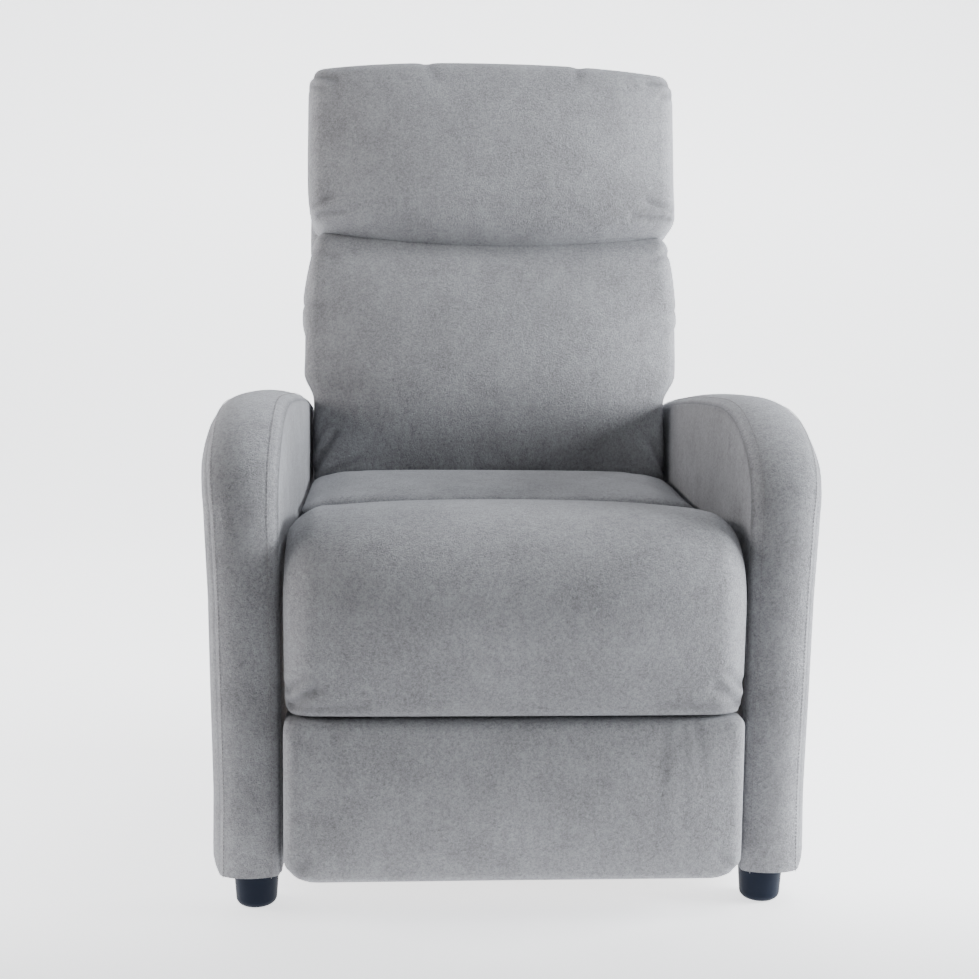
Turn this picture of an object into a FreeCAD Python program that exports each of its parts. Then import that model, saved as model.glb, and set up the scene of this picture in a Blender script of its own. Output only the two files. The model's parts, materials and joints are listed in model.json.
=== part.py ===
"""Push-back recliner armchair: every part of the chair, modelled upright in its own frame.

Frame: +Z up, the chair faces -Y, the sitter's left is +X. The origin is on the floor, under the
middle of the closed chair. All sizes are millimetres. Plates of one side of the mechanism lie in
layers along X, from the arm inwards: base rail, swing links, seat plate, link layer A, link layer B.
"""
import FreeCAD
import Part

import math
import os

from FreeCAD import Vector

os.makedirs("parts", exist_ok=True)

# Overall sizes
WIDTH = 696.0
DEPTH = 810.0
SEAT_GAP = 530.0
ARM_HEIGHT = 586.0
FLOOR_GAP = 42.0
BULGE = 35.0
SOFT_GAP = 0.3
SIDE_GAP = 3.5

# Arms
ARM_LENGTH = 660.0
ARM_FRONT_REACH = 200.0
ARM_FRONT_DROP = 120.0
ARM_REAR_FALL = 24.0
ARM_REAR_RADIUS = 40.0
ARM_EDGE_RADIUS = 14.0
ARM_PADDING = 18.0
TIMBER_THICK = 38.0
POST_DEPTH = 60.0
RAIL_HEIGHT = 60.0
TOP_RAIL_HEIGHT = 40.0

# Feet
FOOT_RADIUS = 26.0
FOOT_TAPER = 3.0
FOOT_ROUND = 9.0
FOOT_INSET = 28.0
STUD_RADIUS = 4.0
STUD_LENGTH = 30.0
NUT_BARREL_RADIUS = 5.2
NUT_FLANGE_RADIUS = 9.5
NUT_FLANGE_THICK = 1.5
NUT_DEPTH = 18.0

# Mechanism plates and pivots
PLATE = 3.0
LAYER_GAP = 2.0
RUN = 0.06
SEATED = 0.02
RIVET_RADIUS = 4.0
HEAD_RADIUS = 7.0
HEAD_THICK = 1.4
HEAD_GAP = 0.1
LINK_RADIUS = 11.0
TUBE_RADIUS = 9.0
TUBE_WALL = 1.5
RAIL_OFFSET = 4.0

# Swing links that carry the seat forwards
SWING_LENGTH = 130.0
SWING_LEAN = 19.0
SEAT_PIVOT_Z = 242.0
REAR_SEAT_PIVOT_Y = 119.0
SWING_SPACING = 150.0

# Footrest linkage, closed
DRIVE_LENGTH = 200.0
DRIVE_ANGLE = -94.2
DRIVE_PIVOT = (-125.0, 285.0)
TOE_PIVOT = (-320.0, 215.0)
LIFT_OFFSET = 65.0
TOE_ARM = 45.0

# Seat
SEAT_RAIL_Z = 336.0
SEAT_RAIL_HEIGHT = 64.0
SEAT_RAIL_WIDTH = 42.0
SEAT_BOARD = 22.0
SEAT_FRONT_Y = -315.0
SEAT_REAR_Y = 175.0
SEAT_TOP = 456.0
FRONT_TOP = 458.0
CUSHION_SPLIT_Y = -105.0
ROLL_RADIUS = 30.0
FELT_THICK = 4.0
WIRE_RADIUS = 1.7
SPRING_COUNT = 5
SPRING_PITCH = 32.0
SPRING_SWEEP = 44.0

# Leg rest and footrest panels
HINGE = (-325.0, 420.0)
KNUCKLE_RADIUS = 4.5
HINGE_PIN_RADIUS = 2.5
LEAF = 2.0
BOARD = 12.0
PANEL_SPLIT_Z = 232.0
FOOT_PANEL_BOTTOM = 44.0

# Back, in its own upright frame, then leant back about the seat joint line
BACK_LEAN = 12.0
BACK_FOOT = (131.0, 455.0)
BACK_PIVOT = (205.0, 352.0)
BACK_HEIGHT = 616.0
HEAD_EXTRA = 14.0
LUMBAR_HEIGHT = 376.0
CUSHION_THICK = 103.5
BACK_TIMBER = 25.0
STILE_WIDTH = 40.0
STRAP = 2.0
CORNER = 18.0

arm_inner = SEAT_GAP / 2
arm_outer = WIDTH / 2
arm_front = -DEPTH / 2 + BULGE
arm_rear = arm_front + ARM_LENGTH
timber_x0 = arm_inner + ARM_PADDING + SOFT_GAP + 0.7
timber_x1 = timber_x0 + TIMBER_THICK
soft_half = arm_inner - SIDE_GAP
panel_face = -DEPTH / 2
rail_x1 = arm_inner - RAIL_OFFSET
rail_x0 = rail_x1 - PLATE
swing_x1 = rail_x0 - LAYER_GAP
swing_x0 = swing_x1 - PLATE
plate_x1 = swing_x0 - LAYER_GAP
plate_x0 = plate_x1 - PLATE
layer_a1 = plate_x0 - LAYER_GAP
layer_a0 = layer_a1 - PLATE
layer_b1 = layer_a0 - LAYER_GAP
layer_b0 = layer_b1 - PLATE


def polar(point, length, degrees):
    """The point that lies length forwards and up from point, at an angle above the horizontal."""
    t = math.radians(degrees)
    return (point[0] - length * math.cos(t), point[1] + length * math.sin(t))


swing_back = SWING_LENGTH * math.sin(math.radians(SWING_LEAN))
swing_up = SWING_LENGTH * math.cos(math.radians(SWING_LEAN))
rear_seat_pivot = (REAR_SEAT_PIVOT_Y, SEAT_PIVOT_Z)
front_seat_pivot = (REAR_SEAT_PIVOT_Y - SWING_SPACING, SEAT_PIVOT_Z)
rear_base_pivot = (rear_seat_pivot[0] - swing_back, SEAT_PIVOT_Z - swing_up)
front_base_pivot = (front_seat_pivot[0] - swing_back, SEAT_PIVOT_Z - swing_up)

knee = polar(DRIVE_PIVOT, DRIVE_LENGTH, DRIVE_ANGLE)
coupler_angle = math.degrees(math.atan2(TOE_PIVOT[1] - knee[1], knee[0] - TOE_PIVOT[0]))
lift_pivot = polar(DRIVE_PIVOT, LIFT_OFFSET, coupler_angle)
lift_knee = polar(knee, LIFT_OFFSET, coupler_angle)
lift_end = polar(lift_knee, TOE_ARM, DRIVE_ANGLE)
heel_pivot = polar(TOE_PIVOT, TOE_ARM, DRIVE_ANGLE)


def export(name, *solids):
    shape = solids[0] if len(solids) == 1 else Part.makeCompound(list(solids))
    shape.exportStep("parts/" + name + ".step")


def mirrored(solid):
    return solid.mirror(Vector(0, 0, 0), Vector(1, 0, 0))


def export_pair(name, solid):
    """The sitter's left is +X."""
    export("left_" + name, solid)
    export("right_" + name, mirrored(solid))


def both(solids):
    return list(solids) + [mirrored(s) for s in solids]


def block(x0, x1, y0, y1, z0, z1):
    return Part.makeBox(x1 - x0, y1 - y0, z1 - z0, Vector(x0, y0, z0))


def rod(x0, x1, point, radius):
    """A round bar along X through a point of the side view."""
    return Part.makeCylinder(radius, x1 - x0, Vector(x0, point[0], point[1]), Vector(1, 0, 0))


def upright(x, y, z0, z1, radius):
    return Part.makeCylinder(radius, z1 - z0, Vector(x, y, z0))


def capsule(x0, x1, p, q, radius):
    """A flat bar with round ends, from p to q of the side view."""
    a = Vector(x0, p[0], p[1])
    b = Vector(x0, q[0], q[1])
    along = (b - a).normalize()
    side = Vector(0, -along.z, along.y)
    edges = [
        Part.LineSegment(a + side * radius, b + side * radius).toShape(),
        Part.Arc(b + side * radius, b + along * radius, b - side * radius).toShape(),
        Part.LineSegment(b - side * radius, a - side * radius).toShape(),
        Part.Arc(a - side * radius, a - along * radius, a + side * radius).toShape(),
    ]
    return Part.Face(Part.Wire(edges)).extrude(Vector(x1 - x0, 0, 0))


def link(x0, x1, p, q, holes, radius=LINK_RADIUS):
    """A flat bar with a hole for each pivot; a hole is a point and a clearance."""
    bar = capsule(x0, x1, p, q, radius)
    for point, clearance in holes:
        bar = bar.cut(rod(x0 - 1, x1 + 1, point, RIVET_RADIUS + clearance))
    return bar


def rivet(inner, outer, point):
    """A shouldered rivet through two plates; inner and outer are each plate's (x0, x1)."""
    shank = rod(inner[0] - HEAD_GAP - HEAD_THICK, outer[1] + HEAD_GAP + HEAD_THICK, point, RIVET_RADIUS)
    inner_head = rod(inner[0] - HEAD_GAP - HEAD_THICK, inner[0] - HEAD_GAP, point, HEAD_RADIUS)
    shoulder = rod(inner[1] + HEAD_GAP, outer[0] - HEAD_GAP, point, HEAD_RADIUS)
    outer_head = rod(outer[1] + HEAD_GAP, outer[1] + HEAD_GAP + HEAD_THICK, point, HEAD_RADIUS)
    return shank.fuse([inner_head, shoulder, outer_head]).removeSplitter()


def rounded(solid, radius, keep=lambda edge: True):
    edges = [e for e in solid.Edges if keep(e)]
    return solid.makeFillet(radius, edges)


def prism(x0, x1, points):
    """A solid along X with a straight-sided outline given in the side view."""
    corners = [Vector(x0, y, z) for y, z in points]
    return Part.Face(Part.makePolygon(corners + corners[:1])).extrude(Vector(x1 - x0, 0, 0))


# --- Arms and feet ---------------------------------------------------------------------------

def falling_top(start, rear, top, small):
    """The arm's top: an arc that leaves the nose level and falls to the rear round. Returns the
    arc's middle and end, and the round's middle and end, each tangent to the last."""
    angle = 0.0
    for _ in range(30):
        run = rear - small * (1 - math.sin(angle)) - start
        angle = 2 * math.atan(ARM_REAR_FALL / run)
    radius = run / math.sin(angle)
    middle = (start + radius * math.sin(angle / 2), top - radius * (1 - math.cos(angle / 2)))
    end = (start + run, top - ARM_REAR_FALL)
    centre = (end[0] - small * math.sin(angle), end[1] - small * math.cos(angle))
    half = (angle + math.pi / 2) / 2
    round_middle = (centre[0] + small * math.sin(half), centre[1] + small * math.cos(half))
    return middle, end, round_middle, (centre[0] + small, centre[1])


def arm_outline(x0, x1, inset, bottom):
    """The arm's side profile: a long quarter ellipse at the top front, then a top that falls a
    little towards a small round at the top rear."""
    front = arm_front + inset
    rear = arm_rear - inset
    top = ARM_HEIGHT - inset
    reach = ARM_FRONT_REACH - inset
    drop = ARM_FRONT_DROP - inset
    small = ARM_REAR_RADIUS - inset
    middle, end, round_middle, round_end = falling_top(front + reach, rear, top, small)

    def v(y, z):
        return Vector(x0, y, z)

    nose = Part.Ellipse(v(front, top - drop), v(front + reach, top), v(front + reach, top - drop))
    edges = [
        Part.LineSegment(v(front, bottom), v(front, top - drop)).toShape(),
        nose.toShape(0, math.pi / 2),
        Part.Arc(v(front + reach, top), v(*middle), v(*end)).toShape(),
        Part.Arc(v(*end), v(*round_middle), v(*round_end)).toShape(),
        Part.LineSegment(v(*round_end), v(rear, bottom)).toShape(),
        Part.LineSegment(v(rear, bottom), v(front, bottom)).toShape(),
    ]
    return Part.Face(Part.Wire(Part.sortEdges(edges)[0])).extrude(Vector(x1 - x0, 0, 0))


timber_bottom = FLOOR_GAP + 2.0
rail_top = timber_bottom + RAIL_HEIGHT
foot_x = timber_x0 + 12.0
foot_ys = (arm_front + FOOT_INSET, arm_rear - FOOT_INSET - 12.0)
bolt_ys = (-120.0, 205.0)
bolt_z = timber_bottom + RAIL_HEIGHT / 2
BOLT_RADIUS = 4.0


def arm_cover():
    skin = arm_outline(arm_inner, arm_outer, 0, FLOOR_GAP)
    skin = rounded(skin, ARM_EDGE_RADIUS, along_side)
    hollow = arm_outline(timber_x0 - SOFT_GAP, timber_x1 + SOFT_GAP, ARM_PADDING, FLOOR_GAP - 1)
    skin = skin.cut(hollow)
    for y in bolt_ys:
        skin = skin.cut(rod(arm_inner - 1, timber_x0, (y, bolt_z), BOLT_RADIUS + 0.3))
    return skin


def along_side(edge):
    """True for the edges of the arm's two side faces, apart from the open bottom."""
    box = edge.BoundBox
    return box.XLength < 0.01 and box.ZMax > FLOOR_GAP + 0.01


def arm_frame():
    inside = arm_outline(timber_x0, timber_x1, ARM_PADDING + SOFT_GAP, timber_bottom)
    y0 = arm_front + ARM_PADDING + SOFT_GAP
    y1 = arm_rear - ARM_PADDING - SOFT_GAP
    top = ARM_HEIGHT - ARM_PADDING - SOFT_GAP
    stud_y = (y0 + y1) / 2
    rail_y0 = y0 + POST_DEPTH
    rail_y1 = y1 - POST_DEPTH
    under = top - TOP_RAIL_HEIGHT
    rail_outline = [(rail_y0, under), (rail_y0, top), (rail_y1, top), (rail_y1, under - ARM_REAR_FALL)]
    top_rail = prism(timber_x0, timber_x1, rail_outline)
    pieces = [
        block(timber_x0, timber_x1, y0, y1, timber_bottom, rail_top),
        block(timber_x0, timber_x1, y0, rail_y0, rail_top, top),
        block(timber_x0, timber_x1, rail_y1, y1, rail_top, top),
        top_rail,
        block(timber_x0, timber_x1, stud_y - 25, stud_y + 25, rail_top, top).cut(top_rail),
    ]
    pieces = [p.common(inside) for p in pieces]
    for y in bolt_ys:
        pieces[0] = pieces[0].cut(rod(timber_x0 - 1, timber_x1 + 1, (y, bolt_z), BOLT_RADIUS + 0.3))
    for y in foot_ys:
        pieces[0] = pieces[0].cut(
            upright(foot_x, y, timber_bottom - 1, timber_bottom + STUD_LENGTH, NUT_BARREL_RADIUS + 0.05)
        )
    return Part.makeCompound(pieces)


def foot(y):
    height = FLOOR_GAP - SOFT_GAP
    body = Part.makeCone(FOOT_RADIUS - FOOT_TAPER, FOOT_RADIUS, height, Vector(foot_x, y, 0))
    body = rounded(body, FOOT_ROUND, lambda e: e.BoundBox.ZMax < 0.01)
    stud = upright(foot_x, y, height - 1, height + STUD_LENGTH, STUD_RADIUS)
    return body.fuse(stud).removeSplitter()


def tee_nut(y):
    low = timber_bottom - 0.05
    barrel = upright(foot_x, y, low, timber_bottom + NUT_DEPTH, NUT_BARREL_RADIUS)
    flange = upright(foot_x, y, low - NUT_FLANGE_THICK, low, NUT_FLANGE_RADIUS)
    bore = upright(foot_x, y, low - 5, timber_bottom + NUT_DEPTH + 1, STUD_RADIUS + RUN)
    return barrel.fuse(flange).removeSplitter().cut(bore)


export_pair("arm_cover", arm_cover())
export_pair("arm_frame", arm_frame())
export_pair("front_foot", foot(foot_ys[0]))
export_pair("rear_foot", foot(foot_ys[1]))
export("foot_tee_nuts", *both([tee_nut(y) for y in foot_ys]))

# --- Fixed base of the mechanism -------------------------------------------------------------

RAIL_LOW = 60.0
RAIL_HIGH = 136.0
rail_y0 = bolt_ys[0] - 20.0
rail_y1 = bolt_ys[1] + 20.0
TUBE_SIZE = 20.0
cross_ys = (-75.0, 165.0)
FLANGE_WIDTH = 24.0


def base_rail():
    web = block(rail_x0, rail_x1, rail_y0, rail_y1, RAIL_LOW, RAIL_HIGH)
    flange = block(rail_x1 - FLANGE_WIDTH, rail_x1, rail_y0, rail_y1, RAIL_LOW - PLATE, RAIL_LOW)
    rail = web.fuse(flange).removeSplitter()
    for pivot in (rear_base_pivot, front_base_pivot):
        rail = rail.cut(rod(rail_x0 - 1, rail_x1 + 1, pivot, RIVET_RADIUS + SEATED))
    for y in bolt_ys:
        rail = rail.cut(rod(rail_x0 - 1, rail_x1 + 1, (y, bolt_z), BOLT_RADIUS + 0.3))
    return rail


def cross_tube(y):
    """A square tube that lies on the two base rails' flanges and ends at their webs."""
    half = rail_x0 - SOFT_GAP
    outside = block(-half, half, y, y + TUBE_SIZE, RAIL_LOW, RAIL_LOW + TUBE_SIZE)
    inside = block(
        -half - 1, half + 1, y + TUBE_WALL, y + TUBE_SIZE - TUBE_WALL,
        RAIL_LOW + TUBE_WALL, RAIL_LOW + TUBE_SIZE - TUBE_WALL,
    )
    return outside.cut(inside)


def arm_bolt(y):
    head = rod(rail_x0 - 5.5, rail_x0 - 0.05, (y, bolt_z), BOLT_RADIUS * 1.7)
    shank = rod(rail_x0 - 5.5, timber_x1 - 4, (y, bolt_z), BOLT_RADIUS)
    washer = rod(rail_x1 + 0.05, arm_inner - SOFT_GAP, (y, bolt_z), BOLT_RADIUS * 2.2)
    return head.fuse([shank, washer]).removeSplitter()


def rear_skirt():
    board = block(-arm_inner + SOFT_GAP, arm_inner - SOFT_GAP, 268.0, 281.0, FLOOR_GAP + 8, 325.0)
    return rounded(board, 4.0)


export_pair("base_rail", base_rail())
export("front_cross_tube", cross_tube(cross_ys[0]))
export("rear_cross_tube", cross_tube(cross_ys[1]))
export("arm_bolts", *both([arm_bolt(y) for y in bolt_ys]))
export(
    "base_rivets",
    *both([rivet((swing_x0, swing_x1), (rail_x0, rail_x1), p) for p in (rear_base_pivot, front_base_pivot)]),
)
export("rear_skirt", rear_skirt())

# --- Swing links -----------------------------------------------------------------------------

swing_middle = tuple((a + b) / 2 for a, b in zip(rear_base_pivot, rear_seat_pivot))


def swing_link(base_pivot, seat_pivot):
    return link(swing_x0, swing_x1, base_pivot, seat_pivot, [(base_pivot, RUN), (seat_pivot, RUN)])


def round_tube(half, point):
    return rod(-half, half, point, TUBE_RADIUS).cut(rod(-half - 1, half + 1, point, TUBE_RADIUS - TUBE_WALL))


export_pair("rear_swing_link", swing_link(rear_base_pivot, rear_seat_pivot))
export_pair("front_swing_link", swing_link(front_base_pivot, front_seat_pivot))
export("rear_swing_tube", round_tube(swing_x0, swing_middle))

# --- Seat ------------------------------------------------------------------------------------

PLATE_LOW = 228.0
plate_y0 = lift_pivot[0] - 18.0
rail_in = layer_a0 + PLATE + 1.0


def seat_plate():
    """The side plate that carries every seat pivot, with a flange under the seat rail."""
    web = block(plate_x0, plate_x1, plate_y0, SEAT_REAR_Y, PLATE_LOW, SEAT_RAIL_Z)
    ear = capsule(plate_x0, plate_x1, BACK_PIVOT, (SEAT_REAR_Y - 20, PLATE_LOW + 40), 16.0)
    flange = block(plate_x1 - 36, plate_x1, plate_y0, SEAT_REAR_Y, SEAT_RAIL_Z - PLATE, SEAT_RAIL_Z)
    plate = web.fuse([ear, flange]).removeSplitter()
    for pivot in (rear_seat_pivot, front_seat_pivot, DRIVE_PIVOT, lift_pivot, BACK_PIVOT):
        plate = plate.cut(rod(plate_x0 - 1, plate_x1 + 1, pivot, RIVET_RADIUS + SEATED))
    return plate


def seat_frame():
    z1 = SEAT_RAIL_Z + SEAT_RAIL_HEIGHT
    inner = rail_in - SEAT_RAIL_WIDTH
    side = block(inner, rail_in, SEAT_FRONT_Y, SEAT_REAR_Y, SEAT_RAIL_Z, z1)
    front = block(-inner, inner, SEAT_FRONT_Y, SEAT_FRONT_Y + SEAT_BOARD, SEAT_RAIL_Z, z1)
    rear = block(-inner, inner, SEAT_REAR_Y - SEAT_BOARD, SEAT_REAR_Y, SEAT_RAIL_Z, z1)
    return both([side]) + [front, rear]


def zigzag_spring(x):
    """A sinuous wire spring from the front rail to the rear rail, in a level plane."""
    z = SEAT_RAIL_Z + SEAT_RAIL_HEIGHT + WIRE_RADIUS + 0.05
    y0 = SEAT_FRONT_Y + 6
    y1 = SEAT_REAR_Y - 6
    bends = int((y1 - y0) / (SPRING_PITCH / 2))
    step = (y1 - y0) / bends
    turn = step / 2
    reach = SPRING_SWEEP / 2 - turn
    edges = []
    here = Vector(x - reach, y0, z)
    for i in range(bends):
        side = 1 if i % 2 == 0 else -1
        far = Vector(x + side * reach, here.y, z)
        edges.append(Part.LineSegment(here, far).toShape())
        here = Vector(far.x, far.y + step, z)
        edges.append(Part.Arc(far, Vector(far.x + side * turn, far.y + turn, z), here).toShape())
    path = Part.Wire(edges)
    start = edges[0].Vertexes[0].Point
    circle = Part.Wire(Part.makeCircle(WIRE_RADIUS, start, Vector(1, 0, 0)))
    return path.makePipeShell([circle], True, True)


def spring_xs():
    span = rail_in - SEAT_RAIL_WIDTH - SPRING_SWEEP / 2
    return [span * (2 * i / (SPRING_COUNT - 1) - 1) * 0.92 for i in range(SPRING_COUNT)]


felt_z0 = SEAT_RAIL_Z + SEAT_RAIL_HEIGHT + 2 * WIRE_RADIUS + 0.3
felt_z1 = felt_z0 + FELT_THICK
foam_z0 = felt_z1 + SOFT_GAP
cushion_front_y = SEAT_FRONT_Y + SOFT_GAP


def seat_cushion():
    back_y = BACK_FOOT[0] - 10
    outline = [
        (CUSHION_SPLIT_Y + SOFT_GAP, foam_z0), (CUSHION_SPLIT_Y + SOFT_GAP, SEAT_TOP),
        (back_y, SEAT_TOP), (back_y + 6, SEAT_TOP - 26), (SEAT_REAR_Y + 8, foam_z0 + 4),
        (SEAT_REAR_Y + 8, foam_z0),
    ]
    pad = prism(-soft_half, soft_half, outline)
    return rounded(pad, 12.0, lambda e: e.BoundBox.ZMin > SEAT_TOP - 1 and e.BoundBox.YLength > 50)


def seat_front_cushion():
    pad = block(-soft_half, soft_half, cushion_front_y, CUSHION_SPLIT_Y, foam_z0, FRONT_TOP)
    return rounded(pad, 12.0, lambda e: e.BoundBox.ZMin > FRONT_TOP - 1 and e.BoundBox.YLength > 50)


def front_cushion_roll():
    """The foam roll over the seat's front edge, which the leg rest squeezes as it rises."""
    roll = block(
        -soft_half, soft_half, panel_face, cushion_front_y - SOFT_GAP,
        HINGE[1] + KNUCKLE_RADIUS + 1, FRONT_TOP,
    )
    return rounded(
        roll, ROLL_RADIUS, lambda e: e.BoundBox.YMax < panel_face + 1 and e.BoundBox.ZMin > FRONT_TOP - 1
    )


seat_rivets = [
    rivet((plate_x0, plate_x1), (swing_x0, swing_x1), rear_seat_pivot),
    rivet((plate_x0, plate_x1), (swing_x0, swing_x1), front_seat_pivot),
    rivet((layer_a0, layer_a1), (plate_x0, plate_x1), DRIVE_PIVOT),
    rivet((layer_a0, layer_a1), (plate_x0, plate_x1), lift_pivot),
    rivet((layer_a0, layer_a1), (plate_x0, plate_x1), BACK_PIVOT),
]
export_pair("seat_plate", seat_plate())
export("seat_frame", *seat_frame())
export("seat_springs", *[zigzag_spring(x) for x in spring_xs()])
export("seat_felt", block(-rail_in, rail_in, SEAT_FRONT_Y, SEAT_REAR_Y, felt_z0, felt_z1))
export("seat_cushion", seat_cushion())
export("seat_front_cushion", seat_front_cushion())
export("front_cushion_roll", front_cushion_roll())
export("seat_rivets", *both(seat_rivets))

# --- Leg rest panel hinged to the seat's front edge ------------------------------------------

KNUCKLES = 7
KNUCKLE_LENGTH = 60.0
leaf_half = KNUCKLES * KNUCKLE_LENGTH / 2
panel_back = HINGE[0] - KNUCKLE_RADIUS
board_top = HINGE[1] - KNUCKLE_RADIUS - 3.0
board_low = PANEL_SPLIT_Z + 6.0


def knuckles(parity):
    """Every second barrel of the hinge."""
    found = []
    for i in range(parity, KNUCKLES, 2):
        x0 = -leaf_half + i * KNUCKLE_LENGTH + 0.3
        x1 = -leaf_half + (i + 1) * KNUCKLE_LENGTH - 0.3
        found.append((x0, x1))
    return found


def hinge_leaf(plate, strips, parity, clearance):
    """A leaf, its strips to the barrels, and the barrels, bored for the pin."""
    leaf = plate.fuse(
        [rod(a, b, HINGE, KNUCKLE_RADIUS) for a, b in knuckles(parity)] + strips
    ).removeSplitter()
    return leaf.cut(rod(-leaf_half - 1, leaf_half + 1, HINGE, HINGE_PIN_RADIUS + clearance))


def seat_hinge_leaf():
    low = HINGE[1] - KNUCKLE_RADIUS - 32
    high = HINGE[1] - KNUCKLE_RADIUS + 1
    plate = block(-leaf_half, leaf_half, SEAT_FRONT_Y - LEAF, SEAT_FRONT_Y, low, high)
    strips = [block(a, b, HINGE[0], SEAT_FRONT_Y, high - LEAF, high) for a, b in knuckles(0)]
    pin = rod(-leaf_half, leaf_half, HINGE, HINGE_PIN_RADIUS)
    return [hinge_leaf(plate, strips, 0, SEATED), pin]


def leg_rest_hinge_leaf():
    low = HINGE[1] - KNUCKLE_RADIUS - 32
    plate = block(-leaf_half, leaf_half, panel_back, panel_back + LEAF, low, board_top)
    strips = [block(a, b, panel_back, panel_back + LEAF, board_top - 1, HINGE[1]) for a, b in knuckles(1)]
    return hinge_leaf(plate, strips, 1, RUN)


def leg_rest_pad():
    pad = block(
        -soft_half, soft_half, panel_face, panel_back - BOARD - SOFT_GAP,
        PANEL_SPLIT_Z + 1.5, HINGE[1] - 2,
    )
    return rounded(pad, 10.0, lambda e: e.BoundBox.YMax < panel_face + 1)


export("seat_hinge_leaf", *seat_hinge_leaf())
export("leg_rest_hinge_leaf", leg_rest_hinge_leaf())
export(
    "leg_rest_board",
    block(-soft_half + 8, soft_half - 8, panel_back - BOARD, panel_back, board_low, board_top),
)
export("leg_rest_pad", leg_rest_pad())

# --- Footrest linkage ------------------------------------------------------------------------

tube_point = polar(DRIVE_PIVOT, 60.0, DRIVE_ANGLE)
LAYER_A = (layer_a0, layer_a1)
LAYER_B = (layer_b0, layer_b1)

export_pair("drive_link", link(*LAYER_A, DRIVE_PIVOT, knee, [(DRIVE_PIVOT, RUN), (knee, SEATED)]))
export("drive_tube", round_tube(layer_a0, tube_point))
export("drive_rivets", *both([rivet(LAYER_B, LAYER_A, knee)]))
export_pair(
    "coupler_link",
    link(*LAYER_B, knee, TOE_PIVOT, [(knee, RUN), (lift_knee, RUN), (TOE_PIVOT, RUN)]),
)
export_pair(
    "lift_link",
    link(*LAYER_A, lift_pivot, lift_end, [(lift_pivot, RUN), (lift_knee, SEATED), (lift_end, SEATED)]),
)
export("lift_rivets", *both([rivet(LAYER_B, LAYER_A, p) for p in (lift_knee, lift_end)]))
export_pair("stay_link", link(*LAYER_B, lift_end, heel_pivot, [(lift_end, RUN), (heel_pivot, RUN)]))

# --- Footrest --------------------------------------------------------------------------------

foot_board_top = PANEL_SPLIT_Z - 10.0
foot_board_low = FOOT_PANEL_BOTTOM + 10.0
foot_board_back = TOE_PIVOT[0] - LINK_RADIUS - PLATE - 0.5
foot_board_front = foot_board_back - BOARD
screw_zs = (heel_pivot[1] - 24.0, TOE_PIVOT[1] - 22.0)
SCREW_RADIUS = 2.5


def footrest_bracket():
    """A plate for the two footrest pivots, with a flange against the board."""
    plate = capsule(*LAYER_A, TOE_PIVOT, heel_pivot, LINK_RADIUS)
    web = block(*LAYER_A, foot_board_back, TOE_PIVOT[0], heel_pivot[1] - 40, TOE_PIVOT[1] - 4)
    flange = block(
        layer_a0 - 22, layer_a1, foot_board_back, foot_board_back + PLATE,
        heel_pivot[1] - 40, TOE_PIVOT[1] - 4,
    )
    bracket = plate.fuse([web, flange]).removeSplitter()
    clear = block(layer_a0 - 30, layer_a1 + 1, foot_board_back - 20, foot_board_back, 0, 400)
    bracket = bracket.cut(clear)
    for pivot in (TOE_PIVOT, heel_pivot):
        bracket = bracket.cut(rod(layer_a0 - 1, layer_a1 + 1, pivot, RIVET_RADIUS + SEATED))
    for z in screw_zs:
        bracket = bracket.cut(screw_hole(z, SCREW_RADIUS + SEATED))
    return bracket


def screw_hole(z, radius):
    x = layer_a0 - 13
    return Part.makeCylinder(radius, 40, Vector(x, foot_board_front - 5, z), Vector(0, 1, 0))


def footrest_screw(z):
    x = layer_a0 - 13
    shank = Part.makeCylinder(
        SCREW_RADIUS, BOARD + PLATE, Vector(x, foot_board_front + 1, z), Vector(0, 1, 0)
    )
    head = Part.makeCylinder(
        SCREW_RADIUS * 2, 2.0, Vector(x, foot_board_back + PLATE + 0.05, z), Vector(0, 1, 0)
    )
    return shank.fuse(head).removeSplitter()


def footrest_board():
    board = block(
        -soft_half + 8, soft_half - 8, foot_board_front, foot_board_back, foot_board_low, foot_board_top
    )
    for z in screw_zs:
        hole = screw_hole(z, SCREW_RADIUS + SEATED)
        board = board.cut([hole, mirrored(hole)])
    return board


def footrest_pad():
    pad = block(
        -soft_half, soft_half, panel_face, foot_board_front - SOFT_GAP,
        FOOT_PANEL_BOTTOM, PANEL_SPLIT_Z - 1.5,
    )
    return rounded(pad, 10.0, lambda e: e.BoundBox.YMax < panel_face + 1)


export("footrest_board", footrest_board())
export("footrest_pad", footrest_pad())
export_pair("footrest_bracket", footrest_bracket())
export("footrest_rivets", *both([rivet(LAYER_B, LAYER_A, p) for p in (TOE_PIVOT, heel_pivot)]))
export("footrest_screws", *both([footrest_screw(z) for z in screw_zs]))

# --- Back, built upright from its foot line ---------------------------------------------------

lean = math.radians(BACK_LEAN)
back_thick = (
    DEPTH / 2 - BACK_FOOT[0] - (BACK_HEIGHT - CORNER) * math.sin(lean) - CORNER
) / math.cos(lean) + CORNER
timber_v0 = CUSHION_THICK + STRAP + 0.6
timber_v1 = timber_v0 + BACK_TIMBER
stile_x1 = layer_a0 - 0.3
stile_x0 = stile_x1 - STILE_WIDTH
bolt_us = (4.0, 54.0)
bolt_v = timber_v0 + BACK_TIMBER / 2
cavity_half = plate_x1 + 1.0
head_half = soft_half + HEAD_EXTRA


def leant(solid):
    """Leans a solid of the upright back and sets it on the back's foot line."""
    solid = solid.copy()
    solid.rotate(Vector(0, 0, 0), Vector(1, 0, 0), -BACK_LEAN)
    solid.translate(Vector(0, BACK_FOOT[0], BACK_FOOT[1]))
    return solid


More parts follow.
